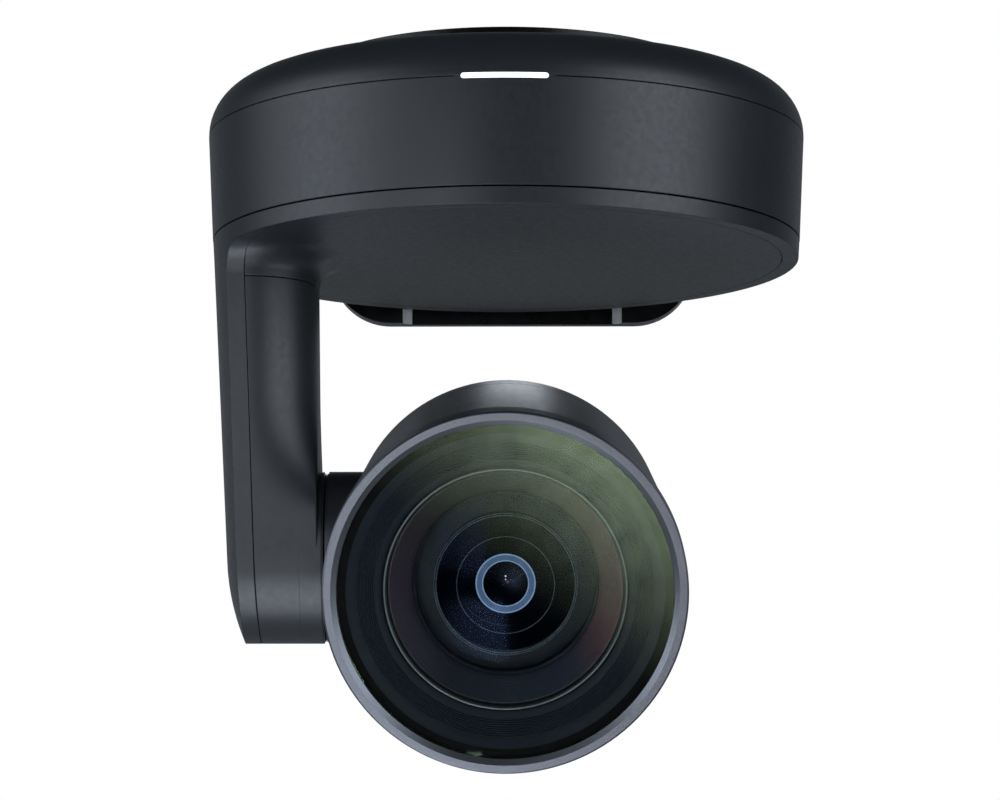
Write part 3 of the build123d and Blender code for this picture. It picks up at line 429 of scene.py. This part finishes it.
def bridge(mesh, first, second):
    """Faces between two closed loops with as many points."""
    for k in range(len(first)):
        after = (k + 1) % len(first)
        mesh.faces.new((first[k], first[after], second[after], second[k]))


def place_piece(name, mesh, material, body, sharp=32):
    """Object made from a bmesh, with its material, riding on a body."""
    bmesh.ops.recalc_face_normals(mesh, faces=mesh.faces)
    data = bpy.data.meshes.new(name)
    mesh.to_mesh(data)
    mesh.free()
    data.shade_smooth()
    data.set_sharp_from_angle(angle=radians(sharp))
    piece = bpy.data.objects.new(name, data)
    bpy.context.scene.collection.objects.link(piece)
    dress(piece, material)
    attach(piece, body)
    return piece


def lathe(name, corners, material, body="head", axes=HEAD):
    """Closed ring of revolution from (radius, height) corners in mm, by default about the lens axis."""
    steps = 192
    mesh = bmesh.new()
    outline = [p * MM for p in rounded(corners)]
    rings = []
    for i in range(steps):
        angle = 2 * pi * i / steps
        rings.append([mesh.verts.new((p.x * cos(angle), p.x * sin(angle), p.y)) for p in outline])
    for here, there in zip(rings, rings[1:] + rings[:1]):
        bridge(mesh, here, there)
    mesh.transform(axes)
    return place_piece(name, mesh, material, body)


def wire_ring(name, radius, ahead, thick, material):
    """Thin round ring about the lens axis."""
    corners = []
    for i in range(10):
        angle = 2 * pi * i / 10
        corners.append((radius + thick * cos(angle), ahead + thick * sin(angle)))
    lathe(name, corners, material)


# ---- lens pieces ----
BAFFLE_SEAT = 41.2      # outer radius of the funnel, in the ring's bore
BAFFLE_RIM = 39.3       # radius where its slope begins
BAFFLE_INNER = 30.45    # radius where it ends, around the lens
BAFFLE_SLOPE = 0.40
BAFFLE_STEP = 0.25      # drop from the rim to the slope
RIB_START, RIB_PITCH, RIB_COUNT = 36.9, 0.52, 9
RIB_OUTLINE = ((-0.16, -0.20), (-0.30, -0.22), (-0.42, 0.02))    # outwards and forwards of the slope

GLASS_RIMS = (    # name, radius, distance ahead of the tilt axis, thickness
    ("rim_outer", 17.75, 41.0, 0.09),
    ("rim_inner", 17.25, 41.05, 0.12),
    ("rim_deep", 12.1, 42.3, 0.09),
)
IRIS_AT = 39.8          # distance of the iris band, a glowing painted reflection, ahead of the tilt axis
IRIS_INNER, IRIS_OUTER = 5.75, 7.25
GLINTS = (    # painted glints as small glowing beads: name, place across and up from the lens axis, radius, material
    ("painted_glint_high", (0, 1.84), 0.20, "painted_glint"),
    ("painted_glint_low", (0, 1.02), 0.13, "painted_glint"),
    ("painted_red_glint", (0.45, 0.35), 0.30, "painted_red_glint"),
)


def baffle():
    """Ribbed funnel: a smooth rim, fine ribs, then smooth down to the lens."""
    rear, front = along_lens("ribbed_baffle")
    top, foot = front / MM - 0.05, rear / MM + 0.3

    def slope(radius):
        return top - BAFFLE_STEP - (BAFFLE_RIM - radius) * BAFFLE_SLOPE

    line = [(BAFFLE_SEAT, top), (BAFFLE_RIM, top, 0.1), (RIB_START, slope(RIB_START))]
    for i in range(RIB_COUNT):
        radius = RIB_START - i * RIB_PITCH
        line += [(radius + out, slope(radius) + ahead) for out, ahead in RIB_OUTLINE]
    line += [(BAFFLE_INNER, slope(BAFFLE_INNER), 0.2), (BAFFLE_INNER, foot), (36.6, foot),
             (BAFFLE_SEAT, top - 2.0)]
    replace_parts(lathe("baffle", line, "baffle_blue"), "ribbed_baffle")


def bead(name, place, size, material):
    """Small rounded bead at a place across, up and ahead of the tilt axis, in mm."""
    mesh = bmesh.new()
    bmesh.ops.create_icosphere(mesh, subdivisions=3, radius=size * MM)
    mesh.transform(HEAD @ Matrix.Translation(Vector(place) * MM))
    place_piece(name, mesh, material, "head", 180)


def lens_rings():
    """Black ring of painted shade behind the glass, the rims of the elements, and the iris with its glints as
    glowing painted reflections.
    """
    ink = along_lens("cover_glass")[0] / MM - 0.06
    # painted shade: a black ring, darker than the funnel, where the hood's inside wall lies in shade
    lathe("painted_shade_ring", [(41.3, ink), (39.25, ink), (39.25, ink - 0.1), (41.3, ink - 0.1)], "painted_shade_black")
    # painted highlight: a pale thin ring along the edge of the black retaining ring
    lathe("retainer_highlight", [(30.0, 48.94), (30.02, 49.06), (29.84, 49.12), (29.66, 49.06), (29.68, 48.94)],
          "pale_rim_and_highlight")
    for name, radius, ahead, thick in GLASS_RIMS:
        wire_ring(name, radius, ahead, thick, "pale_rim_and_highlight")
    back = IRIS_AT - 0.2
    band = [(IRIS_OUTER, IRIS_AT), (IRIS_INNER, IRIS_AT), (IRIS_INNER, back), (IRIS_OUTER, back)]
    # painted reflection: the iris band glows in the coating's blue
    lathe("iris_band", band, "painted_iris_reflection")
    # painted highlights: thin glowing rings at the iris band's edges
    wire_ring("iris_edge_outer", IRIS_OUTER + 0.05, IRIS_AT, 0.17, "painted_iris_edge_highlight")
    wire_ring("iris_edge_inner", IRIS_INNER - 0.05, IRIS_AT, 0.13, "painted_iris_edge_highlight")
    # painted glints: small glowing beads near the lens axis
    for name, (across, up), size, material in GLINTS:
        bead(name, (across, up, IRIS_AT), size, material)


# ---- bracket: painted highlights in the round inside corners of its recess ----
RECESS_HALF, RECESS_DEPTH, RECESS_CORNER = 30.1 * MM, 3.0 * MM, 2.6 * MM
UPRIGHT_HALF = 49.9 * MM


def recess_corners():
    """Thin pale strips lying in the two round inside corners of the bracket's recess: painted highlights."""
    low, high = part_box("wall_bracket")
    middle = high.x - UPRIGHT_HALF
    for name, side in (("recess_highlight_left", -1), ("recess_highlight_right", 1)):
        centre = Vector((middle + side * (RECESS_HALF - RECESS_CORNER), -RECESS_DEPTH - RECESS_CORNER))
        outline = []
        for gap, order in ((0.02 * MM, range(13)), (0.12 * MM, range(12, -1, -1))):
            for i in order:
                turned = pi / 2 * i / 12
                outline.append(centre + Vector((side * sin(turned), cos(turned))) * (RECESS_CORNER - gap))
        mesh = bmesh.new()
        foot, head = [[mesh.verts.new((p.x, p.y, z)) for p in outline]
                      for z in (low.z + 0.1 * MM, low.z + 38 * MM)]
        bridge(mesh, foot, head)
        mesh.faces.new(foot)
        mesh.faces.new(head)
        # painted highlight: a pale strip in the round corner
        place_piece(name, mesh, "painted_recess_highlight", "base")


# ---- arm: inner cover that flows into its round end ----
def smoothstep(value):
    value = max(0.0, min(1.0, value))
    return value * value * (3 - 2 * value)


def upper_edge(points):
    """The bulging upper outline of a cloud of (place, height) points, from left to right."""
    edge = []
    for x, y in sorted(points):
        while len(edge) > 1:
            (ax, ay), (bx, by) = edge[-2:]
            if (bx - ax) * (y - ay) < (by - ay) * (x - ax):
                break
            edge.pop()
        edge.append((x, y))
    return edge


def height_on(edge, x):
    for (ax, ay), (bx, by) in zip(edge, edge[1:]):
        if ax <= x <= bx and bx > ax:
            return ay + (by - ay) * (x - ax) / (bx - ax)
    return edge[0][1] if x < edge[0][0] else edge[-1][1]


def corner_fall(radius, into):
    """How far a round corner has fallen away, at a distance from its end."""
    return radius - sqrt(radius ** 2 - (radius - into) ** 2) if into < radius else 0


SKIN_CORNER = 18 * MM       # radius of its corners below the platform
SKIN_TIGHT = 0.35 * MM      # radius they shrink to
TIGHT_UP_TO = 8 * MM        # height above the tilt axis where they start to grow
GROW_OVER = 34 * MM         # height over which they grow


def skin_ring(outer, face_x, half, square):
    """Outline of the cover at one height, in (across, along) places from the pan axis."""
    round_off = min(SKIN_CORNER, half * 0.9)
    back_x = -sqrt(outer * outer - half * half)
    front = []
    for i in range(33):
        into = (face_x - back_x) * (1 - sin(pi / 2 * i / 32))
        fall = corner_fall(round_off, into)
        front.append((face_x - into, half - fall - (corner_fall(SKIN_TIGHT, into) - fall) * square))
    first, last = front[0][1], front[-1][1]
    side = [(-sqrt(outer * outer - y * y), y) for y in (first * (1 - i / 6) for i in range(1, 7))]
    front += [(face_x, last * (1 - i / 4)) for i in range(1, 4)]
    ring = side[::-1] + front + [(face_x, 0.0)]
    return ring + [(x, -y) for x, y in front[::-1]] + [(x, -y) for x, y in side[:-1]]


def arm_skin():
    """Inner cover of the arm: its large round corners shrink to a tight edge towards the hub."""
    cover = frame["nodes"]["arm_inner_cover"].data
    points = [v.co - Vector((PAN.x, PAN.y, 0)) for v in cover.vertices]
    profile = upper_edge([(p.z, p.xy.length) for p in points])
    top, low = max(p.z for p in points), min(p.z for p in points)
    axis, hub = TILT.z, TILT.z - low
    collar = max(p.x for p in points)
    at_top = [p for p in points if p.z > top - 0.01 * MM]
    top_half, top_face = max(p.y for p in at_top), max(p.x for p in at_top)
    face_end = collar - 1.3 * MM

    mesh = bmesh.new()
    levels = [top - 0.01 * MM + (axis - top) * i / 56 for i in range(57)]
    levels += [axis - hub * sin(pi / 2 * i / 24) for i in range(1, 24)]
    rows = []
    for z in levels:
        down = min((top - z) / (top - axis), 1)
        face_x = top_face + (face_end - top_face) * down
        half = top_half + (hub - top_half) * down if z > axis else sqrt(hub * hub - (axis - z) ** 2)
        square = 1 - smoothstep((z - axis - TIGHT_UP_TO) / GROW_OVER)
        ring = skin_ring(height_on(profile, z), face_x, half, square)
        rows.append([mesh.verts.new((PAN.x + x, PAN.y + y, z)) for x, y in ring])
    for upper, lower in zip(rows, rows[1:]):
        bridge(mesh, upper, lower)
    mesh.faces.new(rows[0])
    mesh.faces.new(rows[-1])
    skin = place_piece("arm_skin", mesh, "shell_plastic", "platform", 40)

    inward = Matrix.Translation((PAN.x + collar, PAN.y, axis)) @ Matrix.Rotation(radians(90), 4, "Y")
    rim = hub / MM
    lathe("arm_collar", [(rim, -6), (rim, -0.4), (rim - 0.5, -0.4), (rim - 0.5, 0), (12, 0), (12, -6)],
          "shell_plastic", "platform", inward)
    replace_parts(skin, "arm_inner_cover")


baffle()
lens_rings()
recess_corners()
arm_skin()


# ---- lights, floor and camera ----
TINT = (0.83, 0.905, 1.0)    # daylight slightly on the blue side
AMBIENT = 0.05


def area_light(name, place, target, size, radiance):
    """Rectangular soft light of a given brightness."""
    lamp = bpy.data.lights.new(name, "AREA")
    lamp.shape = "RECTANGLE"
    lamp.size, lamp.size_y = size
    lamp.energy = radiance * pi * size[0] * size[1]
    lamp.color = TINT
    holder = bpy.data.objects.new(name, lamp)
    bpy.context.scene.collection.objects.link(holder)
    holder.location = place
    holder.rotation_euler = (Vector(target) - Vector(place)).to_track_quat("-Z", "Y").to_euler()
    holder.visible_camera = False


SOFT_BOXES = (    # direction, half angle of the bright middle, half angle where it ends, brightness
    ((-0.874, -0.465, 0.139), 10, 30, 1.8),
    ((-0.987, -0.086, 0.139), 10, 30, 1.4),
    ((0.840, -0.525, 0.139), 12, 32, 3.3),
    ((0.0, 0.97, -0.242), 20, 60, 0.25),
)


def studio():
    world = bpy.data.worlds.new("studio")
    bpy.context.scene.world = world
    world.use_nodes = True
    tree = world.node_tree
    tree.nodes.clear()
    out = tree.nodes.new("ShaderNodeOutputWorld")
    ray = tree.nodes.new("ShaderNodeTexCoord").outputs["Generated"]
    total = AMBIENT
    for direction, core, edge, bright in SOFT_BOXES:
        facing = add(tree, "ShaderNodeVectorMath", i0=ray, i1=Vector(direction).normalized())
        facing.operation = "DOT_PRODUCT"
        fade = add(tree, "ShaderNodeMapRange", Value=facing.outputs["Value"])
        fade.interpolation_type = "SMOOTHSTEP"
        fade.inputs["From Min"].default_value = cos(radians(edge))
        fade.inputs["From Max"].default_value = cos(radians(core))
        total = math_node(tree, "MULTIPLY_ADD", fade.outputs["Result"], bright, total)
    glow = add(tree, "ShaderNodeBackground", Color=(*TINT, 1), Strength=total)
    seen = add(tree, "ShaderNodeBackground", Color=(1, 1, 1, 1), Strength=1.0)
    path = tree.nodes.new("ShaderNodeLightPath")
    mix = add(tree, "ShaderNodeMixShader", i0=path.outputs["Is Camera Ray"], i1=glow.outputs[0],
              i2=seen.outputs[0])
    tree.links.new(mix.outputs[0], out.inputs["Surface"])

    arm = (TILT.x - 0.066, PAN.y - 0.02, TILT.z + 0.023)
    foot = (arm[0], arm[1], TILT.z - 0.012)
    area_light("arm_fill", (-0.095, -0.33, -0.085), arm, (0.10, 0.18), 2.3)
    area_light("knee_fill", (-0.10, -0.37, -0.40), foot, (0.20, 0.20), 4.5)
    area_light("foot_fill", (-0.09, -0.22, -0.48), foot, (0.20, 0.20), 4.5)
    area_light("head_back", (0.011, 1.20, 0.36), (0, -0.09, -0.06), (0.10, 0.10), 15)


CARD_AWAY, CARD_HALF = 0.8, 0.12    # distance from the glass, half its width
CARD_LEAN = 54                      # degrees its grading leans to the right
CARD_REACH = 0.0643                 # distance from its middle where it is at full strength
CARD_POWER, CARD_STRENGTH = 1.8, 3.9


def glass_card():
    """Graded card in front of and below the lens; the cover glass mirrors it."""
    centre = HEAD @ Vector((0, 0, along_lens("cover_glass")[1]))
    eye = bpy.context.scene.camera.location
    seen = (eye - centre).normalized()
    bounce = 2 * FORWARD.dot(seen) * FORWARD - seen
    mesh = bmesh.new()
    bmesh.ops.create_grid(mesh, x_segments=4, y_segments=4, size=CARD_HALF)
    data = bpy.data.meshes.new("glass_card")
    mesh.to_mesh(data)
    mesh.free()
    card = bpy.data.objects.new("glass_card", data)
    bpy.context.scene.collection.objects.link(card)
    facing = -bounce
    side = Vector((0, 0, 1)).cross(facing).normalized()
    over = facing.cross(side)
    middle = centre + bounce * CARD_AWAY
    card.matrix_world = Matrix((
        (side.x, over.x, facing.x, middle.x), (side.y, over.y, facing.y, middle.y),
        (side.z, over.z, facing.z, middle.z), (0, 0, 0, 1),
    ))
    made, tree, out = new_material("glass_card")
    split = add(tree, "ShaderNodeSeparateXYZ", Vector=object_place(tree))
    lean = radians(CARD_LEAN)
    across = math_node(tree, "MULTIPLY", split.outputs[0], -cos(lean) / CARD_REACH)
    along = math_node(tree, "MULTIPLY_ADD", split.outputs[1], sin(lean) / CARD_REACH, across)
    share = math_node(tree, "MAXIMUM", along, 0.0)
    graded = math_node(tree, "POWER", share, CARD_POWER)
    bright = math_node(tree, "MULTIPLY", graded, CARD_STRENGTH)
    shine = add(tree, "ShaderNodeEmission", Color=(1, 1, 1, 1), Strength=bright)
    tree.links.new(shine.outputs[0], out.inputs["Surface"])
    data.materials.append(made)
    card.visible_camera = False
    card.visible_diffuse = False
    card.visible_shadow = False


def floor():
    """Large pale floor well below the object."""
    mesh = bmesh.new()
    bmesh.ops.create_grid(mesh, x_segments=8, y_segments=8, size=4.0)
    data = bpy.data.meshes.new("floor")
    mesh.to_mesh(data)
    mesh.free()
    ground = bpy.data.objects.new("floor", data)
    bpy.context.scene.collection.objects.link(ground)
    ground.location = (0, 0, -0.6)
    made, tree, out = new_material("pale_floor")
    colour = blend_colours(tree, noise(tree, 0.2), (0.80, 0.80, 0.80), (0.84, 0.84, 0.84))
    finish_surface(tree, out, colour, 0.7, bump(tree, noise(tree, 0.01), 0.0002))
    data.materials.append(made)


CAMERA_SWING, CAMERA_PITCH, CAMERA_YAW = 0.3, 9.086, 0.3765    # degrees
CAMERA_AWAY, CAMERA_BELOW = 1.2269, 0.2641                      # from the pan axis, from the seam
CAMERA_LENS = 173.88                                            # mm, on a 36 mm wide frame


def camera():
    """Long lens a little below the object, looking slightly up."""
    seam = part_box("side_band")[1].z
    swing, pitch, yaw = radians(CAMERA_SWING), radians(CAMERA_PITCH), radians(CAMERA_YAW)
    eye = Vector((PAN.x + CAMERA_AWAY * sin(swing), PAN.y - CAMERA_AWAY * cos(swing), seam - CAMERA_BELOW))
    look = Vector((-sin(yaw) * cos(pitch), cos(yaw) * cos(pitch), sin(pitch)))
    data = bpy.data.cameras.new("camera")
    data.lens = CAMERA_LENS
    data.sensor_width = 36
    data.clip_start = 0.05
    holder = bpy.data.objects.new("camera", data)
    bpy.context.scene.collection.objects.link(holder)
    holder.location = eye
    holder.rotation_euler = look.to_track_quat("-Z", "Y").to_euler()
    bpy.context.scene.camera = holder


camera()
floor()
studio()
glass_card()
bpy.context.scene.view_settings.view_transform = "Standard"
